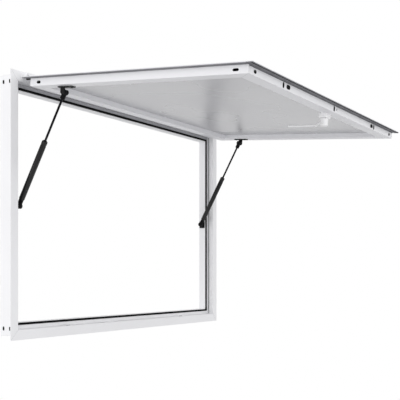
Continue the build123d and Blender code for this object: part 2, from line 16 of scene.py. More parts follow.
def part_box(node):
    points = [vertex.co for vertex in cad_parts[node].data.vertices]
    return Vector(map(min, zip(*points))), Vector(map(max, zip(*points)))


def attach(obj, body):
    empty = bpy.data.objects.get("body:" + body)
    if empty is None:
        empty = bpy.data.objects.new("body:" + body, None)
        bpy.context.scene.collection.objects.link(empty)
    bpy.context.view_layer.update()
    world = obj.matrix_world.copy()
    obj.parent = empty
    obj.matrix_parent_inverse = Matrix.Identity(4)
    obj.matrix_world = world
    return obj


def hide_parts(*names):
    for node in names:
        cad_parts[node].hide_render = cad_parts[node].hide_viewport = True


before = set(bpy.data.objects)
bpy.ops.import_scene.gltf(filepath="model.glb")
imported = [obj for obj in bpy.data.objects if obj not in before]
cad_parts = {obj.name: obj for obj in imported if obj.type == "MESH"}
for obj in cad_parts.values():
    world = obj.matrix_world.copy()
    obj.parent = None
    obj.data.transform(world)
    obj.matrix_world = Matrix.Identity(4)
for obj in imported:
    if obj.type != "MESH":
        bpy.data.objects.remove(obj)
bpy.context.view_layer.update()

# %% [markdown]
# ## The directions of the open leaf
# The leaf stands open at 85.75 degrees, so its own directions are turned against the frame's. One function gives
# any point of the leaf from three plain distances: across it, along it from the hinge, and through it from the
# hinge line down. The same distances are what a fitter would read off a tape laid on the leaf.

# %% Directions of the leaf
ACROSS = Vector((1, 0, 0))
INTO_WALL = Vector((0, 1, 0))
UP = Vector((0, 0, 1))
OPEN_ANGLE = radians(85.75)   # from shut to fully open
ALONG = Vector((0, -sin(OPEN_ANGLE), -cos(OPEN_ANGLE)))
THROUGH = Vector((0, cos(OPEN_ANGLE), -sin(OPEN_ANGLE)))
HINGE = Vector((0, -0.018, 0.6715))
SIDES = (("left", -1), ("right", 1))


def on_leaf(across, along, through):
    """A point of the open leaf, counted in metres from the middle of the hinge axis."""
    return HINGE + ACROSS * across + ALONG * along + THROUGH * through


HALF_BODY = 0.488         # half the width of the leaf's body
BODY_START = 0.022        # hinge axis to the rear end of the body
BODY_END = 0.645          # hinge axis to the free end of the body
LIP_WIDTH = 0.0165
SKIN_DEPTH = 0.0100       # hinge axis down to the outer skin
RAIL_BOTTOM = 0.0325      # hinge axis down to the underside of the rails
print("free end of the leaf at", tuple(round(v, 4) for v in on_leaf(0, BODY_END, SKIN_DEPTH)))

# %% [markdown]
# ## Colours and nodes
# Colours are easy to judge as sRGB hex values, but Cycles mixes light in linear values. One function turns the
# first into the second. A second small function adds a shader node with its settings and its links, so a material
# reads as a short list of what it is made of.

# %% Colours and nodes
def linear(hex_code):
    """An sRGB hex colour as the linear values that a shader mixes."""
    channels = [int(hex_code[i:i + 2], 16) / 255 for i in (0, 2, 4)]
    return tuple(c / 12.92 if c <= 0.04045 else ((c + 0.055) / 1.055) ** 2.4 for c in channels) + (1.0,)


def add(tree, kind, settings=None, **inputs):
    """Adds a node. Settings are its own switches; inputs are values, or sockets to link from."""
    node = tree.nodes.new("ShaderNode" + kind)
    for name, value in (settings or {}).items():
        setattr(node, name, value)
    for name, value in inputs.items():
        socket = node.inputs[name.replace("_", " ")]
        if isinstance(value, bpy.types.NodeSocket):
            tree.links.new(value, socket)
        else:
            socket.default_value = value
    return node


print("white at 50 percent in sRGB is", round(linear("808080")[0], 3), "in linear values")

# %% [markdown]
# ## What every finish shares
# A finish on this window is one surface shader whose constants come from the real material. On top of that, one
# slow pattern makes colour and gloss a little uneven, as wear and wiping do, and one fine pattern gives the relief.
# The patterns are laid on each piece's own coordinates, which are metres here, so a pattern's scale is one divided
# by the size of its grain. A bevel node rounds the light on sharp edges by the real radius of the coat.

# %% Shared steps of a finish
PAINT_IOR = 1.5           # baked powder, coil paint and lacquer
THIN_EDGE = 0.0003        # radius that a thin coat or skin leaves on an edge
NOISE_LOW, NOISE_HIGH = 0.35, 0.65   # where nearly all of a noise texture lies


def new_material(name, **finish):
    """A material with one surface shader, set to the finish's constants, and the piece's own coordinates."""
    material = bpy.data.materials.new(name)
    material.use_nodes = True
    tree = material.node_tree
    tree.nodes.clear()
    output = add(tree, "OutputMaterial")
    shader = add(tree, "BsdfPrincipled", **finish)
    tree.links.new(shader.outputs[0], output.inputs[0])
    return material, tree, shader, add(tree, "TexCoord").outputs["Object"]


def uneven(tree, shader, pattern, colours, roughness):
    """Lets one pattern carry the colour and the roughness of a surface from a low to a high value."""
    share = add(tree, "MapRange", Value=pattern, From_Min=NOISE_LOW, From_Max=NOISE_HIGH).outputs[0]
    tint = add(tree, "MixRGB", Fac=share, Color1=linear(colours[0]), Color2=linear(colours[1]))
    gloss = add(tree, "MapRange", Value=share, To_Min=roughness[0], To_Max=roughness[1])
    tree.links.new(tint.outputs[0], shader.inputs["Base Color"])
    tree.links.new(gloss.outputs[0], shader.inputs["Roughness"])


def relief(tree, shader, height, depth, edge=THIN_EDGE):
    """Bump of a real depth in metres, over edges softened to a real radius in metres."""
    soft = add(tree, "Bevel", {"samples": 4}, Radius=edge).outputs[0]
    bump = add(tree, "Bump", Height=height, Distance=depth, Strength=1.0, Normal=soft)
    tree.links.new(bump.outputs[0], shader.inputs["Normal"])


print("a finish is made in three steps: constants, unevenness and relief")

# %% [markdown]
# ## White powder coat
# The frame and the leaf are extruded aluminium with a baked powder coat. The powder melts into a thick satin skin,
# which leaves a very shallow orange peel with waves of a few millimetres, and it draws back a little from sharp
# edges. We set the wave size from that, keep its depth at a few hundredths of a millimetre, and vary the gloss a
# little, because hands and wipes polish a serving window unevenly.

# %% Powder coat
WIPE_SIZE = 0.18          # the sweep of a hand with a cloth
PEEL_SIZE = 0.004         # waves of orange peel; 2 mm on the real coat, drawn coarser so that they show
PEEL_DEPTH = 0.00006      # a few hundredths of a millimetre
EXTRUSION_EDGE = 0.0005   # corner radius of an extrusion under its coat


def powder_coat(name, colours, roughness):
    """Polyester powder coat: nearly plain in colour, satin, with orange peel and uneven polish."""
    material, tree, shader, place = new_material(name, IOR=PAINT_IOR)
    wipe = add(tree, "TexNoise", Vector=place, Scale=1 / WIPE_SIZE, Detail=3.0).outputs[0]
    peel = add(tree, "TexNoise", Vector=place, Scale=1 / PEEL_SIZE, Detail=2.0).outputs[0]
    uneven(tree, shader, wipe, colours, roughness)
    relief(tree, shader, peel, PEEL_DEPTH, EXTRUSION_EDGE)
    return material


frame_coat = powder_coat("white_powder_coated_aluminium", ("F3F3F5", "F6F6F8"), (0.36, 0.46))
# The leaf's copy of the coat is a touch darker than the frame's: painted shade for the leaf's underside, which is
# turned from the light.
shaded_leaf_coat = powder_coat("white_powder_coat_leaf_painted_shade", ("F1F1F4", "F4F4F7"), (0.34, 0.44))
print("coats:", frame_coat.name, shaded_leaf_coat.name)

# %% [markdown]
# ## The grey inner panel
# The underside of the leaf is closed by a pale grey pre-painted sheet bonded to a board. It is smoother than the
# powder coat, so it throws a soft reflection of the struts and the lever. Rolled sheet is never quite flat: long,
# shallow waves run along the rolling direction, which lies across the window, and bend those reflections a little.

# %% Panel sheet
ROLL_WAVE = 0.05          # waves left by the rolls
ROLL_STRETCH = 6          # their length against their width
ROLL_DEPTH = 0.00004
CLOUD_SIZE = 0.30         # slow drift of the paint's gloss over a panel


def painted_sheet(name, colours, roughness):
    """Coil-coated sheet: even colour, half gloss, and long shallow waves along the roll."""
    material, tree, shader, place = new_material(name, IOR=PAINT_IOR)
    cloud = add(tree, "TexNoise", Vector=place, Scale=1 / CLOUD_SIZE, Detail=2.0).outputs[0]
    rolled = add(tree, "Mapping", Vector=place, Scale=(1 / ROLL_STRETCH, 1, 1)).outputs[0]
    waves = add(tree, "TexNoise", Vector=rolled, Scale=1 / ROLL_WAVE, Detail=1.0).outputs[0]
    uneven(tree, shader, cloud, colours, roughness)
    relief(tree, shader, waves, ROLL_DEPTH)
    return material


panel_sheet = painted_sheet("coil_coated_grey_sheet", ("C6C6C9", "CBCBCE"), (0.24, 0.30))
print("panel:", panel_sheet.name)

# %% [markdown]
# ## Rubber and foam
# Two seals keep rain out: a black EPDM bulb gasket runs round the opening, and a charcoal foam strip is stuck under
# the lip of the leaf. Silicone pads and sealant do the small jobs beside them, and a grey tape and a charcoal bead
# paint shade in the recess of the frame. Rubber scatters light and has no metal in it, so it is dark and quite
# rough, with a fine grain from the extruder, and its pores swallow most of what a smooth surface would reflect. A
# little pale bloom in the colour keeps it from looking like a hole in the picture.

# %% Rubber
BLOOM_SIZE = 0.03         # patches where wax has bloomed to the surface
PORE_DEPTH = 0.0001


def rubber(name, colours, grain, roughness, shine=0.3):
    """Extruded rubber or foam with a grain in metres: matt, with a faint bloom. Shine is what its pores leave."""
    material, tree, shader, place = new_material(name, Specular_IOR_Level=shine)
    bloom = add(tree, "TexNoise", Vector=place, Scale=1 / BLOOM_SIZE, Detail=3.0).outputs[0]
    pores = add(tree, "TexNoise", Vector=place, Scale=1 / grain, Detail=2.0).outputs[0]
    uneven(tree, shader, bloom, colours, (roughness, roughness))
    relief(tree, shader, pores, PORE_DEPTH)
    return material


gasket_rubber = rubber("black_epdm_rubber", ("070708", "0C0C0E"), 0.0010, 0.72, shine=0.06)
seal_foam = rubber("charcoal_foam_rubber", ("7E7E82", "8C8C90"), 0.0014, 0.80)
pad_rubber = rubber("pale_grey_silicone_rubber", ("C6C6C9", "D0D0D2"), 0.0012, 0.60)
# The grey of this tape is painted shade for the head's ledge, in the shadow of the leaf.
head_shade_tape = rubber("grey_tape_painted_head_shade", ("B2B2B6", "BABABE"), 0.0014, 0.80)
sealant = rubber("pale_grey_joint_sealant", ("B8B8BC", "C4C4C8"), 0.0020, 0.70)
# This charcoal is a sealed joint whose dark also paints the shadow line in the recess corner.
corner_sealant_and_shade = rubber("charcoal_sealant_and_corner_shade", ("121213", "1C1C1E"), 0.0020, 0.60, shine=0.1)
for finish in (gasket_rubber, seal_foam, pad_rubber, head_shade_tape, sealant, corner_sealant_and_shade):
    print("seal:", finish.name)

# %% [markdown]
# ## Black struts and fittings
# The strut tube is a drawn steel tube with smooth black paint, and its rod is ground and nitrided, so it is a dark
# metal with a sharp highlight. The ball sockets are glass-filled nylon with a dull grain, and the brackets are
# pressed steel with a thin black coat. The screws are blackened in hot oil. Blacks side by side only read as
# different materials through their gloss, so each one has a shine and a grain of its own.

# %% Blacks
STAIN_SIZE = 0.025        # oil and finger marks on a strut
STAIN_SPREAD = 0.15       # change of roughness, either way


def black_finish(name, colours, grain, depth, roughness, shine=0.5, metal=0.0, edge=THIN_EDGE):
    """A black surface, its grain and depth in metres: gloss, grain and metal set one apart from another."""
    material, tree, shader, place = new_material(name, Specular_IOR_Level=shine, Metallic=metal)
    stain = add(tree, "TexNoise", Vector=place, Scale=1 / STAIN_SIZE, Detail=3.0).outputs[0]
    fine = add(tree, "TexNoise", Vector=place, Scale=1 / grain, Detail=2.0).outputs[0]
    uneven(tree, shader, stain, colours, (roughness * (1 - STAIN_SPREAD), roughness * (1 + STAIN_SPREAD)))
    relief(tree, shader, fine, depth, edge)
    return material


strut_paint = black_finish("black_strut_paint", ("080809", "0C0C0E"), 0.003, 0.00003, 0.34, shine=0.25)
rod_steel = black_finish("nitrided_rod_steel", ("0F0F11", "161619"), 0.0008, 0.00001, 0.26, metal=1.0)
socket_nylon = black_finish("glass_filled_nylon", ("070708", "0C0C0E"), 0.0006, 0.00006, 0.55, shine=0.08)
bracket_coat = black_finish("black_coated_bracket_steel", ("09090A", "0E0E10"), 0.002, 0.00004, 0.46, shine=0.15)
screw_black = black_finish("black_oxide_screw_steel", ("0E0E10", "161618"), 0.0008, 0.00002, 0.42, shine=0.12,
                           edge=0.0001)
print("blacks:", strut_paint.name, rod_steel.name, socket_nylon.name, bracket_coat.name, screw_black.name)

# %% [markdown]
# ## Lock finishes
# The lock case and its lever are die-cast zinc with a glossy white lacquer, which catches small, bright highlights.
# The key cylinder and the latch tongues are bare steel, brushed in one direction, so their grain is long and thin.

# %% Lock lacquer and brushed steel
DIE_SWELL = 0.02          # soft swells that a casting keeps from its die
SWELL_DEPTH = 0.0002
CAST_EDGE = 0.0005
HAIR_LINE = 0.0005        # brushed lines 0.2 mm apart, drawn 0.5 mm apart so that they show
HAIR_STRETCH = 40         # a scratch's length against its width
HAIR_DEPTH = 0.00002


def lacquer(name, colours, roughness):
    """Glossy white lacquer over a casting: soft swells from the die, and a hard clear shine."""
    material, tree, shader, place = new_material(name, IOR=PAINT_IOR)
    swell = add(tree, "TexNoise", Vector=place, Scale=1 / DIE_SWELL, Detail=2.0).outputs[0]
    uneven(tree, shader, swell, colours, (roughness, roughness))
    relief(tree, shader, swell, SWELL_DEPTH, CAST_EDGE)
    return material


def brushed_steel(name, colours, roughness):
    """Steel brushed in one direction, so its scratches are long across the window and thin along it."""
    material, tree, shader, place = new_material(name, Metallic=1.0)
    brushed = add(tree, "Mapping", Vector=place, Scale=(1 / HAIR_STRETCH, 1, 1)).outputs[0]
    hair = add(tree, "TexNoise", Vector=brushed, Scale=1 / HAIR_LINE, Detail=2.0).outputs[0]
    uneven(tree, shader, hair, colours, roughness)
    relief(tree, shader, hair, HAIR_DEPTH)
    return material


lock_lacquer = lacquer("white_lacquered_die_cast_zinc", ("F5F5F6", "F9F9FA"), 0.18)
lock_steel = brushed_steel("brushed_lock_steel", ("9C9CA0", "B4B4B6"), (0.26, 0.36))
print("lock:", lock_lacquer.name, lock_steel.name)

# %% [markdown]
# ## Finishes for the CAD bodies
# Every body that comes from the CAD model takes one of these finishes. A table of finishes and node names is
# shorter than thirty assignments, and the script stops if a node is left without one.

# %% Dress the CAD nodes
FINISHES = {
    frame_coat: ["frame_head", "frame_sill", "frame_jamb_left", "frame_jamb_right", "hinge_channel"],
    shaded_leaf_coat: ["awning_rail_front", "awning_rail_rear", "awning_stile_left", "awning_stile_right", "awning_skin",
                "hinge_leaf"],
    panel_sheet: ["inner_panel"],
    gasket_rubber: ["frame_gasket"],
    pad_rubber: ["sill_buffer_left", "sill_buffer_right"],
    seal_foam: ["lip_seal"],
    strut_paint: ["strut_cylinder_left", "strut_cylinder_right"],
    rod_steel: ["strut_rod_left", "strut_rod_right"],
    socket_nylon: ["rod_socket_left", "rod_socket_right", "cylinder_socket_left", "cylinder_socket_right"],
    bracket_coat: ["upper_bracket_left", "upper_bracket_right", "lower_bracket_left", "lower_bracket_right"],
    lock_lacquer: ["lock_case", "lock_lever"],
    lock_steel: ["key_cylinder", "latch_left", "latch_centre", "latch_right"],
}
for finish, names in FINISHES.items():
    for name in names:
        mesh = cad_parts[name].data
        mesh.materials.clear()
        mesh.materials.append(finish)
bare = set(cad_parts) - {name for names in FINISHES.values() for name in names}
if bare:
    raise SystemExit(f"nodes without a finish: {sorted(bare)}")
print("dressed", sum(len(names) for names in FINISHES.values()), "CAD nodes")

# %% [markdown]
# ## From a bmesh to a piece
# Every new piece ends the same way: normals are made to point outwards, the mesh becomes an object at the origin,
# gets its material, is smoothed where faces meet gently, and is set to ride on the body that carries it. Three more
# small tools stand a shape in its place, add a plain block, and join shapes that belong together.

# %% Finish a piece
ROUND, CRISP, FLAT = 40, 30, 20   # edges that bend less than this, in degrees, are smoothed
MERGE_WITHIN = 1e-6


def into_scene(name, data):
    """An object at the origin, linked into the scene."""
    made = bpy.data.objects.new(name, data)
    bpy.context.scene.collection.objects.link(made)
    return made


def make_piece(mesh, name, material, body, smooth_below=ROUND):
    """Turns a bmesh into a finished piece that rides on a body."""
    bmesh.ops.remove_doubles(mesh, verts=mesh.verts, dist=MERGE_WITHIN)
    bmesh.ops.recalc_face_normals(mesh, faces=mesh.faces)
    for face in mesh.faces:
        face.smooth = True
    for edge in mesh.edges:
        edge.smooth = len(edge.link_faces) == 2 and edge.calc_face_angle() < radians(smooth_below)
    data = bpy.data.meshes.new(name)
    mesh.to_mesh(data)
    mesh.free()
    piece = into_scene(name, data)
    data.materials.append(material)
    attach(piece, body)
    print(f"{name}: {len(data.polygons)} faces on {body}")
    return piece


def stand(mesh, place, axis, turn=0.0):
    """Takes a shape made round +Z at the origin to a place, with +Z along axis, and turned about it."""
    facing = Vector(axis).to_track_quat("Z", "Y").to_matrix().to_4x4()
    there = Matrix.Translation(place) @ facing @ Matrix.Rotation(turn, 4, "Z")
    bmesh.ops.transform(mesh, matrix=there, verts=mesh.verts)


def block(mesh, centre, axes, size):
    """Adds a block to a mesh: its centre, its three directions, and its size along each."""
    turn = Matrix(axes).transposed().to_4x4()
    bmesh.ops.create_cube(mesh, size=1.0, matrix=Matrix.Translation(centre) @ turn @ Matrix.Diagonal((*size, 1.0)))


def gather(meshes):
    """Joins several small shapes into one mesh."""
    whole = bmesh.new()
    for mesh in meshes:
        data = bpy.data.meshes.new("part")
        mesh.to_mesh(data)
        mesh.free()
        whole.from_mesh(data)
        bpy.data.meshes.remove(data)
    return whole


print("smoothing stops at", ROUND, "degrees on round pieces and at", FLAT, "on flat ones")

# %% [markdown]
# ## Rubber profiles along a path
# A gasket is one profile run round several corners, where it is cut or bent on the mitre. We set the profile down
# once at each corner, sheared into the corner's mitre plane, and bridge each ring to the next. That keeps the
# profile true along the straights and closes the mitres without a seam.

# %% Profile run round corners
def run_profile(profile, corners, closed):
    """Bridges one profile through its corners. Each corner gives a point and the two directions of the profile."""
    mesh = bmesh.new()
    rings = []
    for point, sideways, outwards in corners:
        verts = [mesh.verts.new(point + sideways * u + outwards * v) for u, v in profile]
        rings.append([mesh.edges.new(pair) for pair in zip(verts, verts[1:] + verts[:1])])
    follow = rings[1:] + rings[:1] if closed else rings[1:]
    for ring, after in zip(rings, follow):
        bmesh.ops.bridge_loops(mesh, edges=ring + after)
    if not closed:
        bmesh.ops.holes_fill(mesh, edges=rings[0] + rings[-1], sides=0)
    return mesh


def half_round(width, height, foot=0.0, steps=8):
    """A bulb: a flat foot, short straight sides and a round back."""
    arc = [(width / 2 * cos(pi * s / steps), foot + (height - foot) * sin(pi * s / steps)) for s in range(steps + 1)]
    return [(width / 2, 0.0)] + arc + [(-width / 2, 0.0)]


print("a half round has", len(half_round(1, 1)), "points")

# %% [markdown]
# ## Bulb gasket
# The gasket that the shut leaf presses on is a black rubber bulb with a flat foot, pushed on to the ledge of the
# recess all round the opening. The CAD body is its plain envelope, so the bulb takes its path from that body's box
# and then stands in for it.

# %% Bulb gasket on the ledge
GASKET_WIDTH = 0.006
GASKET_HEIGHT = 0.0045
GASKET_FOOT = 0.0012      # height of its straight sides
GASKET_STEPS = 10
gasket_low, gasket_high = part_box("frame_gasket")
middle = (gasket_low + gasket_high) / 2
half_x = (gasket_high.x - gasket_low.x - GASKET_WIDTH) / 2
half_z = (gasket_high.z - gasket_low.z - GASKET_WIDTH) / 2
LEDGE_Y = gasket_high.y
gasket_corners = [(Vector((middle.x + x * half_x, LEDGE_Y, middle.z + z * half_z)), Vector((x, 0, z)), -INTO_WALL)
                  for x, z in ((-1, -1), (1, -1), (1, 1), (-1, 1))]
gasket_profile = half_round(GASKET_WIDTH, GASKET_HEIGHT, GASKET_FOOT, GASKET_STEPS)
gasket = make_piece(run_profile(gasket_profile, gasket_corners, True), "gasket_bulb", gasket_rubber, "frame")
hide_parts("frame_gasket")

# %% [markdown]
# ## Grey tape under the head and dark beads beside the jambs
# Above the gasket, the head's ledge is covered by a flat grey tape, whose grey is painted shade: the ledge lies in
# the shadow of the open leaf. Down each jamb, a thin bead of charcoal sealant closes the joint in the wall of the
# recess, and its dark also paints the corner's shadow line beside the gasket. Both lie clear of the shut leaf.

# %% Head tape and jamb sealant
TAPE_WIDTH = 0.0095
TAPE_HEIGHT = 0.0022
TAPE_FOOT = 0.0012
TAPE_HALF_LENGTH = 0.490
TAPE_GAP = 0.0005         # between gasket and tape
tape_middle = gasket_high.z + TAPE_GAP + TAPE_WIDTH / 2
# The tape's grey paints the shade on the head's ledge under the open leaf.
tape_ends = [(Vector((side * TAPE_HALF_LENGTH, LEDGE_Y, tape_middle)), UP, -INTO_WALL) for side in (-1, 1)]
make_piece(run_profile(half_round(TAPE_WIDTH, TAPE_HEIGHT, TAPE_FOOT), tape_ends, False), "head_painted_shade_strip",
           head_shade_tape, "frame")

HALF_LEDGE = 0.494        # half the width between the recess walls
WALL_BEAD_WIDTH = 0.0014
WALL_BEAD_HEIGHT = 0.0006
WALL_BEAD_Y = LEDGE_Y - 0.0048
WALL_BEAD_PAST = 0.008    # how far it runs past the gasket
bead_low, bead_high = gasket_low.z - WALL_BEAD_PAST, gasket_high.z + WALL_BEAD_PAST
# Each bead is a sealed joint, and its dark also paints the shadow line in the corner of the recess.
wall_beads = bmesh.new()
for side in (-1, 1):
    centre = Vector((side * (HALF_LEDGE - WALL_BEAD_HEIGHT / 2), WALL_BEAD_Y, (bead_low + bead_high) / 2))
    block(wall_beads, centre, (ACROSS, INTO_WALL, UP), (WALL_BEAD_HEIGHT, WALL_BEAD_WIDTH, bead_high - bead_low))
make_piece(wall_beads, "jamb_sealant_and_corner_shade", corner_sealant_and_shade, "frame", FLAT)

# %% [markdown]
# ## The seal under the lip
# From below, the lip of the leaf shows as a charcoal band. It is foam rubber, stuck under the lip: a wide strip with
# a groove along the free end, and a narrower one on each side, next to the body. At the free end a thin band of the
# same grey turns down a little over the rail: it is painted shadow, the shade that the lip casts there. The profile
# tool draws the strips, and a plain block counted in the leaf's own directions does for the turned-down band.

# %% Foam under the lip
SEAL_WIDTH = 0.0155       # along the free end
SIDE_SEAL_WIDTH = 0.0100
SEAL_THICK = 0.0026
SEAL_SETBACK = 0.0006     # strip inside the lip's outer edge
SEAL_START = 0.008        # hinge axis to the side strips
SIDE_GAP = 0.0004         # between the body and a side strip
FOAM_THICK = 0.0018
FOAM_EDGE = 0.0006        # the softened edge of a strip
INNER_EDGE = 0.0008       # and the one next to the body
GROOVE_MIDDLE = 0.0020    # outside the middle of the strip
GROOVE_REACH = 0.0006
GROOVE_DEPTH = 0.0003
# The grey band that turns down over the front rail is painted shadow under the lip.
LIP_SHADOW_DROP = 0.0026        # how far it turns down over the front rail, below the strip
TURN_THICK = 0.0008
TURN_GAP = 0.0001
TURN_LAP = 0.0004         # the part of it inside the strip
LIP_THICK = 0.0015
LIP_UNDER = SKIN_DEPTH + LIP_THICK


def leaf_block(mesh, low, high):
    """Adds a block to a mesh between two corners, counted in the leaf's own directions."""
    centre = on_leaf(*((a + b) / 2 for a, b in zip(low, high)))
    block(mesh, centre, (ACROSS, ALONG, THROUGH), [abs(b - a) for a, b in zip(low, high)])


def foam_profile(width):
    """A flat strip with soft edges and one shallow groove a little outside its middle."""
    half = width / 2
    return [(-half, 0), (-half, FOAM_THICK - FOAM_EDGE), (-half + INNER_EDGE, FOAM_THICK),
            (GROOVE_MIDDLE - GROOVE_REACH, FOAM_THICK), (GROOVE_MIDDLE, FOAM_THICK - GROOVE_DEPTH),
            (GROOVE_MIDDLE + GROOVE_REACH, FOAM_THICK), (half - FOAM_EDGE, FOAM_THICK),
            (half, FOAM_THICK - FOAM_EDGE), (half, 0)]


end_middle = BODY_END + LIP_WIDTH - SEAL_SETBACK - SEAL_WIDTH / 2
end_reach = HALF_BODY + LIP_WIDTH - SEAL_SETBACK
end_ends = [(on_leaf(side * end_reach, end_middle, LIP_UNDER), ALONG, THROUGH) for side in (-1, 1)]
strips = [run_profile(foam_profile(SEAL_WIDTH), end_ends, False)]
for side in (-1, 1):
    across = side * (HALF_BODY + SIDE_GAP + SIDE_SEAL_WIDTH / 2)
    side_ends = [(on_leaf(across, along, LIP_UNDER), ACROSS * side, THROUGH)
                 for along in (SEAL_START, end_middle - SEAL_WIDTH / 2)]
    strips.append(run_profile(foam_profile(SIDE_SEAL_WIDTH), side_ends, False))
# A thin grey band down the front rail, below the lip: painted shadow, the shade that the lip casts on the rail.
lip_shadow_band = bmesh.new()
foam_under = LIP_UNDER + FOAM_THICK
leaf_block(lip_shadow_band, (-HALF_BODY, BODY_END + TURN_GAP, foam_under - TURN_LAP),
           (HALF_BODY, BODY_END + TURN_GAP + TURN_THICK, foam_under + LIP_SHADOW_DROP))
foam = make_piece(gather(strips + [lip_shadow_band]), "lip_foam_and_painted_shadow", seal_foam, "awning", CRISP)
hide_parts("lip_seal")

# %% [markdown]
# ## Bead and end plugs
# A black rubber bead runs along the outer edge of the foam at the free end, where the lip meets the frame first, and
# draws a crisp line there. At each end of the hinge, a small black rubber block fills the gap between the hinge and
# the body; its black is painted shade, the dark of that shaded gap.

# %% Bead and end plugs
BEAD_WIDTH = 0.0046
bead_line = LIP_WIDTH - SEAL_SETBACK - BEAD_WIDTH / 2
bead_ends = [(on_leaf(side * (HALF_BODY + bead_line), BODY_END + bead_line, LIP_UNDER), ALONG, THROUGH)
             for side in (-1, 1)]
make_piece(run_profile(half_round(BEAD_WIDTH, SEAL_THICK), bead_ends, False), "lip_seal_bead", gasket_rubber,
           "awning")

PLUG_START = 0.006        # hinge axis to the plug
PLUG_GAP = 0.0002         # plug to the body
PLUG_INSET = 0.0005       # plug inside the body's side
PLUG_WIDTH = 0.005
PLUG_DEPTH = 0.0038
# Each black block stands in for the shade in the gap between the hinge and the body.
for name, side in SIDES:
    plug = bmesh.new()
    outer = HALF_BODY - PLUG_INSET
    leaf_block(plug, (side * outer, PLUG_START, LIP_UNDER),
               (side * (outer - PLUG_WIDTH), BODY_START - PLUG_GAP, LIP_UNDER + PLUG_DEPTH))
    make_piece(plug, f"hinge_gap_painted_shade_{name}", gasket_rubber, "awning", FLAT)

# %% [markdown]
# ## Turned strut tubes
# A gas strut's tube isn't a plain cylinder: its nose is rolled in over the rod guide, a shallow crimp holds the
# guide in place, and the far end is closed by a rounded weld. All of this is round, so it is drawn as half a
# section and spun once about the strut's line.

# %% Spin a half section
def turned(profile, steps=40):
    """Spins a half section of (radius, height) points about Z into a closed shape."""
    mesh = bmesh.new()
    verts = [mesh.verts.new((r, 0, h)) for r, h in profile]
    edges = [mesh.edges.new(pair) for pair in zip(verts, verts[1:])]
    bmesh.ops.spin(mesh, geom=verts + edges, cent=(0, 0, 0), axis=(0, 0, 1), dvec=(0, 0, 0), angle=2 * pi,
                   steps=steps, use_merge=True, use_duplicate=False)
    return mesh


STRUT_X = 0.460           # the strut's plane, from the middle of the window
UPPER_BALL = on_leaf(0, 0.113, RAIL_BOTTOM + 0.0138)
LOWER_BALL = Vector((0, 0.028, 0.3395))
STRUT_LINE = (LOWER_BALL - UPPER_BALL).normalized()
STRUT_SPAN = (LOWER_BALL - UPPER_BALL).length
SOCKET_REACH = 0.018      # ball to the end of the tube
TUBE_LENGTH = 0.167
TUBE_RADIUS = 0.0075
TUBE_START = STRUT_SPAN - SOCKET_REACH - TUBE_LENGTH
GUIDE_RADIUS = 0.0031     # hole that the rod slides in
# (radius, height) from the hole in the guide, over the rolled nose and the crimp, to the rounded far end
TUBE_PROFILE = [
    (GUIDE_RADIUS, 0.006), (GUIDE_RADIUS, 0.0008), (0.0042, 0.0002), (0.0052, 0.0), (0.0064, 0.0005),
    (0.0072, 0.0016), (TUBE_RADIUS, 0.0030), (TUBE_RADIUS, 0.0105), (0.0070, 0.0112), (0.00685, 0.0119),
    (0.0070, 0.0126), (TUBE_RADIUS, 0.0133), (TUBE_RADIUS, TUBE_LENGTH - 0.0034), (0.0073, TUBE_LENGTH - 0.0020),
    (0.0067, TUBE_LENGTH - 0.0009), (0.0056, TUBE_LENGTH - 0.0002), (0.0, TUBE_LENGTH),
]
for end, side in SIDES:
    shift = ACROSS * side * STRUT_X
    tube = turned(TUBE_PROFILE)
    nose = UPPER_BALL + shift + STRUT_LINE * TUBE_START
    stand(tube, nose, STRUT_LINE)
    piece = make_piece(tube, f"strut_tube_{end}", strut_paint, f"{end}_cylinder")
    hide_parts(f"strut_cylinder_{end}")

# %% [markdown]
# ## Caps on the hinge
# The hinge extrusion is cut square, and its open ends would let the bead creep out and show a dark hole above the
# leaf. A small white plate closes each end. Its outline is a half circle round the channel that runs on straight to
# the wall, drawn once and extruded. A gap keeps it off the bead that turns inside, and a pad joins it to the web.

# %% Caps on the ends of the channel
CHANNEL_RADIUS = 0.0055
CAP_REACH = 0.016         # hinge axis to the flange
CAP_GAP = 0.0003
CAP_THICK = 0.0012
CAP_STEPS = 12
PAD_START = 0.007         # hinge axis to the pad
PAD_INSET = 0.0001
channel_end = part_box("hinge_channel")[1].x
for name, side in SIDES:
    out = ACROSS * side
    base = HINGE + out * channel_end
    cap = bmesh.new()
    turns = [pi * s / CAP_STEPS for s in range(CAP_STEPS + 1)]
    outline = [(-sin(turn) * CHANNEL_RADIUS, cos(turn) * CHANNEL_RADIUS) for turn in turns]
    outline += [(CAP_REACH, -CHANNEL_RADIUS), (CAP_REACH, CHANNEL_RADIUS)]
    face = cap.faces.new([cap.verts.new(base + out * CAP_GAP + INTO_WALL * u + UP * v) for u, v in outline])
    grown = bmesh.ops.extrude_face_region(cap, geom=[face], use_keep_orig=True)["geom"]
    bmesh.ops.translate(cap, verts=[g for g in grown if isinstance(g, bmesh.types.BMVert)], vec=out * CAP_THICK)
    pad = bmesh.new()
    block(pad, base + out * CAP_GAP + INTO_WALL * (PAD_START + CAP_REACH) / 2, (ACROSS, INTO_WALL, UP),
          (2 * CAP_GAP, CAP_REACH - PAD_START, 2 * (CHANNEL_RADIUS - PAD_INSET)))
    make_piece(gather([cap, pad]), f"hinge_cap_{name}", frame_coat, "frame", CRISP)

# %% [markdown]
# ## Wiper rings and socket clips
# A black nylon wiper ring sits where the rod enters the tube. Each ball socket is kept on its ball by a spring clip
# of round wire, snapped into a groove. Both are small rings, one turned and one a bent wire.

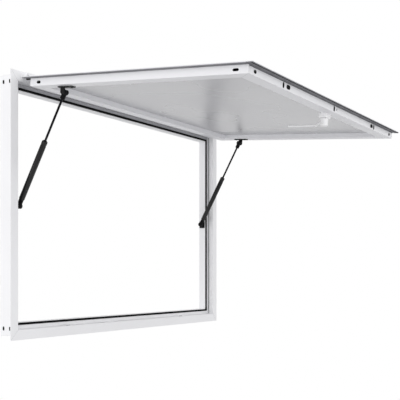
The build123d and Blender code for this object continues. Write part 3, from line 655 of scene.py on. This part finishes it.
# %% Rings on the struts
def wire_ring(radius, wire, sweep, steps=28):
    """A ring of round wire about Z; a sweep under a full turn leaves the clip's gap."""
    mesh = bmesh.new()
    bmesh.ops.create_circle(mesh, cap_ends=True, segments=8, radius=wire,
                            matrix=Matrix.Translation((radius, 0, 0)) @ Matrix.Rotation(pi / 2, 4, "X"))
    bmesh.ops.spin(mesh, geom=mesh.verts[:] + mesh.edges[:] + mesh.faces[:], cent=(0, 0, 0), axis=(0, 0, 1),
                   dvec=(0, 0, 0), angle=sweep, steps=steps, use_merge=False, use_duplicate=False)
    return mesh


WIPER_HOLE = 0.00305
WIPER_PROFILE = [(WIPER_HOLE, 0.0), (0.0042, 0.0), (0.0050, 0.0006), (0.0050, 0.0016), (WIPER_HOLE, 0.0016),
                 (WIPER_HOLE, 0.0)]
WIPER_SEAT = 0.0012       # in front of the tube's nose
SOCKET_RADIUS = 0.007
CLIP_WIRE = 0.0006
CLIP_SWEEP = 1.7 * pi
CLIP_OFFSET = 0.0035      # from the ball's centre to the groove
for end, side in SIDES:
    shift = ACROSS * side * STRUT_X
    wiper = turned(WIPER_PROFILE, 32)
    seat = UPPER_BALL + shift + STRUT_LINE * (TUBE_START - WIPER_SEAT)
    stand(wiper, seat, STRUT_LINE)
    make_piece(wiper, f"rod_wiper_{end}", socket_nylon, f"{end}_cylinder")
    for ball, body, name in ((UPPER_BALL, "rod", "rod_socket_clip"), (LOWER_BALL, "cylinder", "tube_socket_clip")):
        clip = wire_ring(SOCKET_RADIUS, CLIP_WIRE, CLIP_SWEEP)
        stand(clip, ball + shift + ACROSS * side * CLIP_OFFSET, ACROSS * side)
        make_piece(clip, f"{name}_{end}", screw_black, f"{end}_{body}")

# %% [markdown]
# ## Screws
# Pan-head screws hold the corners of the frame, the strut brackets and the lock. A screw head is a low dome with a
# cross recess, stamped cold in a die. We start from a small grid whose middle rows form the cross, round its
# outline, lift it to a dome, and push the cross down. It has few faces, because there are many screws.

# %% A cross-recess pan head
# Shares of the head's radius or height
CROSS_TICKS = [-1.0, -0.86, -0.62, -0.14, 0.14, 0.62, 0.86, 1.0]
CELLS = len(CROSS_TICKS) - 1
ARM_REACH, ARM_SIDE = 0.62, 0.12
RIM_DROP = 0.75
CROSS_FLOOR = 0.35


def pan_head(radius, height, place, axis, turn=0.0):
    """A pan head with a cross recess, seated at a place and facing along axis."""
    mesh = bmesh.new()
    bmesh.ops.create_grid(mesh, x_segments=CELLS, y_segments=CELLS, size=radius)
    for vert in mesh.verts:
        x, y = (CROSS_TICKS[round((c / radius + 1) * CELLS / 2)] for c in vert.co.xy)
        reach = max(abs(x), abs(y))
        length = sqrt(x * x + y * y) or 1.0
        roundness = reach ** 3
        scale = radius * (1 - roundness + roundness * reach / length)
        vert.co = Vector((x * scale, y * scale, 0))
        vert.co.z = height * (1 - RIM_DROP * (vert.co.length / radius) ** 3)
    arms = []
    for face in mesh.faces:
        centre = face.calc_center_median()
        along, off = max(abs(centre.x), abs(centre.y)), min(abs(centre.x), abs(centre.y))
        if along < ARM_REACH * radius and off < ARM_SIDE * radius:
            arms.append(face)
    pushed = bmesh.ops.extrude_face_region(mesh, geom=arms)
    sunk = [e for e in pushed["geom"] if isinstance(e, bmesh.types.BMVert)]
    bmesh.ops.delete(mesh, geom=arms, context="FACES")
    for vert in sunk:
        vert.co.z = height * CROSS_FLOOR
    rim = [edge for edge in mesh.edges if edge.is_boundary]
    skirt = bmesh.ops.extrude_edge_only(mesh, edges=rim)
    for vert in (e for e in skirt["geom"] if isinstance(e, bmesh.types.BMVert)):
        vert.co.z = 0
    bmesh.ops.holes_fill(mesh, edges=[edge for edge in mesh.edges if edge.is_boundary], sides=0)
    stand(mesh, place, axis, turn)
    return mesh


print("a pan head starts from a grid of", CELLS ** 2, "faces")

# %% [markdown]
# ## Bracket screws
# Each strut bracket is held by two screws: black oxide steel in the upper plate, which lies on the leaf's rail, and
# smaller ones in the lower plate, where the jamb's reveal is narrow. Screws are never all turned alike, so each
# cross gets its own angle.

# %% Screws in the strut brackets
UPPER_PLATE_X = 0.4590
UPPER_PLATE_ALONG = (0.102, 0.134)
PLATE_THICK = 0.0025
UPPER_HEAD = (0.0036, 0.0018)   # radius and height
LOWER_PLATE_FACE = 0.4738
LOWER_PLATE_Y = 0.032
LOWER_PLATE_RISE = 0.0088
LOWER_HEAD = (0.0022, 0.0012)
for end, side in SIDES:
    heads = [pan_head(*UPPER_HEAD, on_leaf(side * UPPER_PLATE_X, along, RAIL_BOTTOM + PLATE_THICK), THROUGH,
                      along * 90) for along in UPPER_PLATE_ALONG]
    make_piece(gather(heads), f"upper_bracket_screws_{end}", screw_black, "awning", CRISP)
    heads = [pan_head(*LOWER_HEAD, (side * LOWER_PLATE_FACE, LOWER_PLATE_Y, LOWER_BALL.z + rise), (-side, 0, 0),
                      1 + rise * 40) for rise in (-LOWER_PLATE_RISE, LOWER_PLATE_RISE)]
    make_piece(gather(heads), f"lower_bracket_screws_{end}", screw_black, "frame", CRISP)

# %% [markdown]
# ## Slot liners
# A latch tongue would chew a bare aluminium slot, so each slot in the leaf has a nylon liner, whose black also
# paints the shade inside the hollow rail. The three for the latches are open sleeves with a flat rim on the rail.
# The two in the side rails are cups, because nothing passes there, and their black floor paints the dark of the
# hole. A liner is one slot outline set down several times, from the outside in, and bridged.

# %% Slot liners
LINER_WALL = 0.0005
LINER_STEPS = 8
LINER_RIM = 0.0003        # how far the rim stands proud of the rail
LATCH_LINER = (0.0108, 0.0052)   # length and width
LATCH_LINER_DEPTH = 0.0035
LATCH_LINER_RIM = 0.0016
SIDE_LINER = (0.0148, 0.0060)
SIDE_LINER_DEPTH = 0.0030
HOLE_LINE = SKIN_DEPTH + 0.0135
LATCH_SPACING = 0.315
FRONT_SLOT = 0.032        # free end to the slot in a side rail


def slot_liner(place, outward, lengthwise, size, depth, floored, rim=0.0):
    """A slot-shaped liner that sinks from a face: an open sleeve, or a cup with a floor."""
    mesh = bmesh.new()
    sideways = outward.cross(lengthwise)
    length, width = size
    reach = (length - width) / 2
    turns = [(start + pi * s / LINER_STEPS, end) for start, end in ((-pi / 2, 1), (pi / 2, -1))
             for s in range(LINER_STEPS + 1)]
    flat = [(0, 0), (rim, 0), (rim, -LINER_RIM)] if rim else [(0, -LINER_RIM)]
    section = [(0, depth)] + flat + [(-LINER_WALL, -LINER_RIM), (-LINER_WALL, depth - LINER_WALL)]
    rings = []
    for grow, sink in section:
        radius = width / 2 + grow
        verts = [mesh.verts.new(place + lengthwise * (end * reach + radius * cos(turn))
                                + sideways * radius * sin(turn) - outward * sink) for turn, end in turns]
        rings.append([mesh.edges.new(pair) for pair in zip(verts, verts[1:] + verts[:1])])
    for ring, after in zip(rings, rings[1:] if floored else rings[1:] + rings[:1]):
        bmesh.ops.bridge_loops(mesh, edges=ring + after)
    if floored:
        bmesh.ops.holes_fill(mesh, edges=rings[0] + rings[-1], sides=0)
    return mesh


# The liners' black paints the shade inside the holes of the hollow rails.
liners = [slot_liner(on_leaf(across, BODY_END, HOLE_LINE), ALONG, THROUGH, LATCH_LINER, LATCH_LINER_DEPTH, False,
                     LATCH_LINER_RIM) for across in (-LATCH_SPACING, 0.0, LATCH_SPACING)]
liners += [slot_liner(on_leaf(side * HALF_BODY, BODY_END - FRONT_SLOT, HOLE_LINE), ACROSS * side, ALONG, SIDE_LINER,
                      SIDE_LINER_DEPTH, True) for side in (-1, 1)]
make_piece(gather(liners), "slot_liners_and_hole_shade", socket_nylon, "awning", CRISP)

# %% [markdown]
# ## Screws and bolts in the edges of the leaf
# The edge of the leaf shows how it is put together. Pan heads draw the mitred rails tight at the free end and at the
# rear of each side, two low hexagon bolts hold the guides of the latch rods, and a small bright screw sits beside
# the middle latch. Holes in the hollow rails are wide, so that a corner or a rod guide can be shifted before it is
# drawn tight. Oval washers cover them, and all the black ones are capped in nylon, which keeps out the salt.

# %% A hexagon head and an oval washer
HEX_SHARE = 0.8           # the six-sided part of its height
TURNED_FOOT, TURNED_TOP = 0.86, 0.78


def hex_head(radius, height, place, axis):
    """A hexagon bolt head with its top edge turned down a little."""
    mesh = bmesh.new()
    hexagon, top = height * HEX_SHARE, height * (1 - HEX_SHARE)
    bmesh.ops.create_cone(mesh, cap_ends=True, segments=6, radius1=radius, radius2=radius, depth=hexagon,
                          matrix=Matrix.Translation((0, 0, hexagon / 2)))
    bmesh.ops.create_cone(mesh, cap_ends=True, segments=18, radius1=radius * TURNED_FOOT,
                          radius2=radius * TURNED_TOP, depth=top,
                          matrix=Matrix.Translation((0, 0, hexagon + top / 2)))
    stand(mesh, place, axis)
    return mesh


WASHER_THICK = 0.0008


def oval_washer(seat, outward, lengthwise, size):
    """A flat oval washer that stands on a face and covers the hole in it."""
    return slot_liner(seat + outward * (WASHER_THICK - LINER_RIM), outward, lengthwise, size, WASHER_THICK, True)


print("a washer is a slot liner that stands", WASHER_THICK * 1000, "mm proud")

# %% Screws in the holes of the leaf
CORNER_SCREW_X = 0.459
REAR_SCREW = 0.028        # rear end of the body to the screw in its side
CORNER_HEAD, CORNER_WASHER = (0.0036, 0.0018), (0.0110, 0.0078)
REAR_HEAD, REAR_WASHER = (0.0032, 0.0018), (0.0118, 0.0072)
edge_screws = []
for side in (-1, 1):
    corner = on_leaf(side * CORNER_SCREW_X, BODY_END, HOLE_LINE)
    edge_screws.append(pan_head(*CORNER_HEAD, corner, ALONG, 0.4 + side * CORNER_SCREW_X))
    edge_screws.append(oval_washer(corner, ALONG, ACROSS, CORNER_WASHER))
    rear = on_leaf(side * HALF_BODY, BODY_START + REAR_SCREW, HOLE_LINE)
    edge_screws.append(pan_head(*REAR_HEAD, rear, ACROSS * side, 0.8))
    edge_screws.append(oval_washer(rear, ACROSS * side, ALONG, REAR_WASHER))
make_piece(gather(edge_screws), "leaf_screws", socket_nylon, "awning", CRISP)

# %% Bolts of the rod guides
BOLT_HEAD, BOLT_WASHER = (0.0040, 0.0020), (0.0190, 0.0098)
BOLT_PLACES = ((-0.290, -0.2885), (0.290, 0.2945))   # bolt, and middle of its washer
bolts = []
for bolt_across, washer_across in BOLT_PLACES:
    bolts.append(hex_head(*BOLT_HEAD, on_leaf(bolt_across, BODY_END, HOLE_LINE), ALONG))
    bolts.append(oval_washer(on_leaf(washer_across, BODY_END, HOLE_LINE), ALONG, ACROSS, BOLT_WASHER))
make_piece(gather(bolts), "front_rail_bolts", socket_nylon, "awning", CRISP)

ROD_SCREW_X = 0.017
ROD_SCREW_HEAD = (0.0031, 0.0010)
lock_screw = pan_head(*ROD_SCREW_HEAD, on_leaf(ROD_SCREW_X, BODY_END, HOLE_LINE), ALONG, 0.3)
make_piece(lock_screw, "lock_rod_screw", lock_steel, "awning", CRISP)

# %% [markdown]
# ## Sleeve screws
# Eight screws through the jambs draw the corners of the frame together: two near the head and two near the sill on
# each side. Each sits on an upright slotted washer, which lets the fitter square the frame before it is tight, and
# which makes it show from afar as a short dark stroke.

# %% Screws on the sides of the sleeve
SLEEVE_X = 0.509
SLEEVE_SCREW_DEPTHS = (0.0115, 0.0335)
SLEEVE_SCREW_HEIGHTS = (0.0240, 0.6525)
SLEEVE_HEAD = (0.0024, 0.0016)
SLEEVE_WASHER = (0.0100, 0.0050)
SLEEVE_WASHER_RISE = 0.0005
SLEEVE_WASHER_DEPTH = 0.0006
for name, side in SIDES:
    out = ACROSS * side
    heads = []
    for i, z in enumerate(SLEEVE_SCREW_HEIGHTS):
        for j, y in enumerate(SLEEVE_SCREW_DEPTHS):
            seat = Vector((side * SLEEVE_X, y, z))
            heads.append(slot_liner(seat + out * SLEEVE_WASHER_RISE, out, UP, SLEEVE_WASHER, SLEEVE_WASHER_DEPTH,
                                    True))
            heads.append(pan_head(*SLEEVE_HEAD, seat, out, 0.5 + i + 2 * j))
    make_piece(gather(heads), f"sleeve_screws_{name}", screw_black, "frame", CRISP)

# %% [markdown]
# ## Lock case screws
# The lock case is fixed through its own cover by two small steel screws on opposite corners. The hub of the lever
# takes the middle of the case, so a corner is the only place where a screwdriver can reach.

# %% Screws in the lock case
LOCK_ACROSS = 0.016
LOCK_ALONG = BODY_END - 0.033
CASE_TOP = RAIL_BOTTOM + 0.013
CASE_SCREW_ACROSS, CASE_SCREW_ALONG = 0.0113, 0.0072
CASE_HEAD = (0.0018, 0.0008)
case_screws = []
for side in (-1, 1):
    seat = on_leaf(LOCK_ACROSS + side * CASE_SCREW_ACROSS, LOCK_ALONG - side * CASE_SCREW_ALONG, CASE_TOP)
    case_screws.append(pan_head(*CASE_HEAD, seat, THROUGH, 0.5 * side))
make_piece(gather(case_screws), "lock_case_screws", lock_steel, "awning", CRISP)

# %% [markdown]
# ## Sealed mitres
# Four extrusions meet on the mitre at every corner of the frame, and the leaf's rails do the same at its free end.
# The joint is closed with a hair of grey sealant. It is only a few tenths of a millimetre wide and stands a little
# proud of the coat, but up close it tells you that the frame is cut and joined, not moulded in one piece.

# %% Lines of sealant
SEAM_WIDTH = 0.0004
SEAM_HEIGHT = 0.00008
FLANGE_FACE = 0.026       # flange's outer edge to the recess
RAIL_WIDTH = 0.036


def seam_lines(joints):
    """Thin beads along joints. Each joint gives its two ends and the direction out of the surface."""
    mesh = bmesh.new()
    for start, end, outward in joints:
        line = end - start
        axes = (line.normalized(), outward.cross(line).normalized(), outward)
        block(mesh, (start + end) / 2 + outward * SEAM_HEIGHT / 2, axes, (line.length, SEAM_WIDTH, SEAM_HEIGHT))
    return mesh


frame_low, frame_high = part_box("frame_sill")[0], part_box("frame_head")[1]
flange_joints = []
for x, inward in ((frame_low.x, 1), (frame_high.x, -1)):
    for z, up in ((frame_low.z, 1), (frame_high.z, -1)):
        corner = Vector((x, frame_low.y, z))
        slant = Vector((inward, 0, up))
        # Each line starts one width inside the corner, so that it stays in the frame's box
        flange_joints.append((corner + slant * SEAM_WIDTH, corner + slant * FLANGE_FACE, -INTO_WALL))
make_piece(seam_lines(flange_joints), "frame_mitre_sealant", sealant, "frame", FLAT)
rail_joints = [(on_leaf(side * HALF_BODY, BODY_END, RAIL_BOTTOM),
                on_leaf(side * (HALF_BODY - RAIL_WIDTH), BODY_END - RAIL_WIDTH, RAIL_BOTTOM), THROUGH)
               for side in (-1, 1)]
make_piece(seam_lines(rail_joints), "leaf_mitre_sealant", sealant, "awning", FLAT)

# %% [markdown]
# ## World and light
# The picture is a studio cut-out: white all round, with soft light from the left and above. The world gives the even
# light and is darker below the horizon, so the underside of the leaf falls into a soft shade. Three soft boxes do
# the rest: one in front, and two on the left that lift the sleeve and the edge of the leaf. The floor lies a metre
# below, as under a real serving counter. What the camera sees of world and floor is white by its own colour.

# %% World
def camera_ray(tree):
    """1 for rays that the camera sends, also by way of a gloss or through glass, and 0 for the rest."""
    path = add(tree, "LightPath")
    total = path.outputs["Is Camera Ray"]
    for kind in ("Is Glossy Ray", "Is Transmission Ray"):
        either = add(tree, "Math", {"operation": "MAXIMUM"})
        tree.links.new(total, either.inputs[0])
        tree.links.new(path.outputs[kind], either.inputs[1])
        total = either.outputs[0]
    return total


WORLD_LOW = 0.66          # strength below the horizon
WORLD_HIGH = 0.92         # and above it
HORIZON_BLUR = 0.25       # half the band between the two
world = bpy.data.worlds.new("studio")
bpy.context.scene.world = world
world.use_nodes = True
sky = world.node_tree
sky.nodes.clear()
heading = add(sky, "SeparateXYZ", Vector=add(sky, "TexCoord").outputs["Generated"]).outputs["Z"]
dome = add(sky, "MapRange", Value=heading, From_Min=-HORIZON_BLUR, From_Max=HORIZON_BLUR,
           To_Min=WORLD_LOW, To_Max=WORLD_HIGH)
level = add(sky, "MapRange", Value=camera_ray(sky), To_Min=dome.outputs[0], To_Max=1.0)
background = add(sky, "Background", Color=linear("FFFFFF"), Strength=level.outputs[0])
sky_output = add(sky, "OutputWorld")
sky.links.new(background.outputs[0], sky_output.inputs[0])
print("world strength", WORLD_LOW, "below and", WORLD_HIGH, "above")

# %% Floor
FLOOR_DEPTH = 1.0
FLOOR_HALF = 2.6
FLOOR_OUT = 0.3           # its middle in front of the window
CLOTH_SIZE = 0.4          # soft patches of its paint
FLOOR_GLOW = 0.55         # added for the camera only, so that the pale floor shows white
floor_mesh = bmesh.new()
bmesh.ops.create_grid(floor_mesh, x_segments=1, y_segments=1, size=FLOOR_HALF)
bmesh.ops.translate(floor_mesh, verts=floor_mesh.verts, vec=(0, -FLOOR_OUT, -FLOOR_DEPTH))
floor_data = bpy.data.meshes.new("floor")
floor_mesh.to_mesh(floor_data)
floor_mesh.free()
floor = into_scene("floor", floor_data)
floor_paint, tree, shader, place = new_material("pale_studio_floor", Roughness=0.9)
seen = camera_ray(tree)
cloth = add(tree, "TexNoise", Vector=place, Scale=1 / CLOTH_SIZE, Detail=2.0).outputs[0]
dull = add(tree, "MixRGB", Fac=cloth, Color1=linear("A4A4A6"), Color2=linear("A8A8AA")).outputs[0]
shade = add(tree, "MixRGB", Fac=seen, Color1=dull, Color2=linear("FAFAFA"))
tree.links.new(shade.outputs[0], shader.inputs["Base Color"])
shader.inputs["Emission Color"].default_value = linear("FFFFFF")
lift = add(tree, "Math", {"operation": "MULTIPLY"})
tree.links.new(seen, lift.inputs[0])
lift.inputs[1].default_value = FLOOR_GLOW
tree.links.new(lift.outputs[0], shader.inputs["Emission Strength"])
floor_data.materials.append(floor_paint)
print("floor", FLOOR_DEPTH, "m below the sill")

# %% Lamps
def area_lamp(name, place, target, size, power):
    """A square soft box that faces its target, with its size in metres and its power in watts."""
    lamp = bpy.data.lights.new(name, "AREA")
    lamp.size = size
    lamp.energy = power
    box = into_scene(name, lamp)
    box.location = place
    box.rotation_euler = (Vector(target) - Vector(place)).to_track_quat("-Z", "Y").to_euler()
    print(name, power, "W")


area_lamp("front_soft_box", (-0.6, -4.2, 0.4), (0, 0, 0.4), 2.6, 26)
area_lamp("left_soft_box", (-3.4, -1.0, 0.0), (0, -0.1, 0.3), 2.2, 10)
area_lamp("side_soft_box", (-3.5, 0.9, 0.5), (0, 0, 0.3), 1.6, 19)

# %% [markdown]
# ## Camera
# The picture was taken level, from the left and a little below the middle of the window, with a long lens. A level
# camera keeps the uprights of the frame upright, and shifting the lens, not tilting it, brings the open leaf in.

# %% Camera
CAMERA_PLACE = Vector((-2.02534, -1.46145, 0.16346))
CAMERA_LOOK = Vector((0.857238, 0.514920, 0))
camera_data = bpy.data.cameras.new("camera")
camera_data.sensor_width = 36     # millimetres, as is the lens
camera_data.lens = 73.051
camera_data.shift_y = 0.18447     # share of the sensor's width
camera = into_scene("camera", camera_data)
camera.location = CAMERA_PLACE
camera.rotation_euler = CAMERA_LOOK.to_track_quat("-Z", "Y").to_euler()
bpy.context.scene.camera = camera
bpy.context.scene.view_settings.view_transform = "Standard"
print("camera at", tuple(CAMERA_PLACE))
